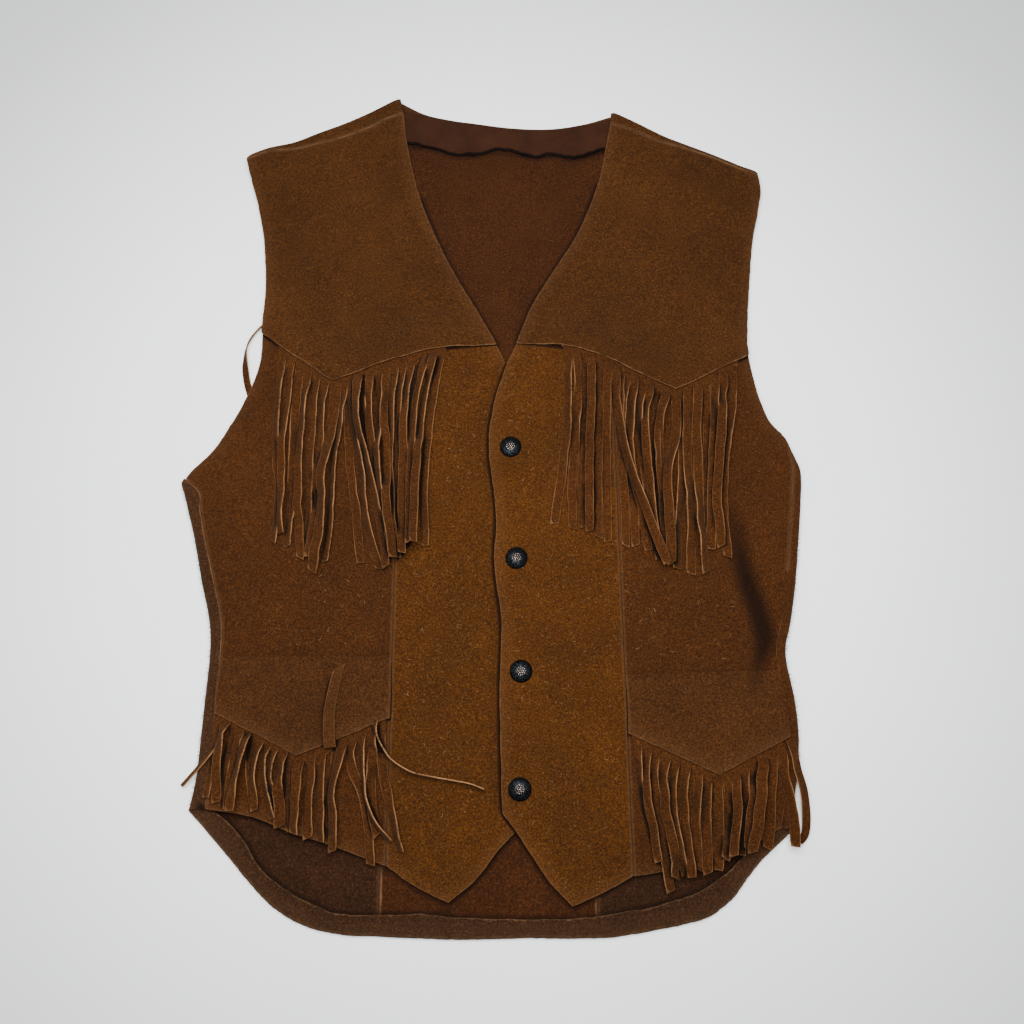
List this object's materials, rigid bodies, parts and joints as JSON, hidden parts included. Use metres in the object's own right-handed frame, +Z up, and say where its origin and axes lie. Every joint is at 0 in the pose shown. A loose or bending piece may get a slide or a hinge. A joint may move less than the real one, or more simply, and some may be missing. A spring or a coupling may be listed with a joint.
{
  "type": "western vest",
  "caption": "Suede western vest laid flat and fastened, with fringed front yokes, fringed pocket flaps, a V neck and a longer curved back.",
  "frame": {"origin": "on the surface the vest lies on, under the middle of its outline", "axes": "+Z up from the surface, +Y from the hem to the shoulders, +X to the wearer's left"},
  "size_m": [0.4316, 0.6015, 0.0114],
  "materials": {
    "suede": "brushed brown suede, matt, with paler raw cut edges",
    "facing": "smooth dark brown, low sheen",
    "snap_metal": "antiqued dark, worn to copper on its relief"
  },
  "bodies": {
    "root": {"back_centre": "suede", "back_side_left": "suede", "back_side_right": "suede", "back_yoke": "suede", "back_hem": "suede", "back_fringe": "suede", "front_centre_left": "suede", "front_centre_right": "suede", "front_side_left": "suede", "front_side_right": "suede", "front_yoke_left": "suede", "front_yoke_right": "suede", "pocket_flap_left": "suede", "pocket_flap_right": "suede", "pocket_fringe_left": "suede", "pocket_fringe_right": "suede", "yoke_fringe_left": "suede", "yoke_fringe_right": "suede", "back_neck_facing": "facing", "snap_cap_1": "snap_metal", "snap_cap_2": "snap_metal", "snap_cap_3": "snap_metal", "snap_cap_4": "snap_metal", "snap_socket_1": "snap_metal", "snap_socket_2": "snap_metal", "snap_socket_3": "snap_metal", "snap_socket_4": "snap_metal"}
  },
  "joints": []
}
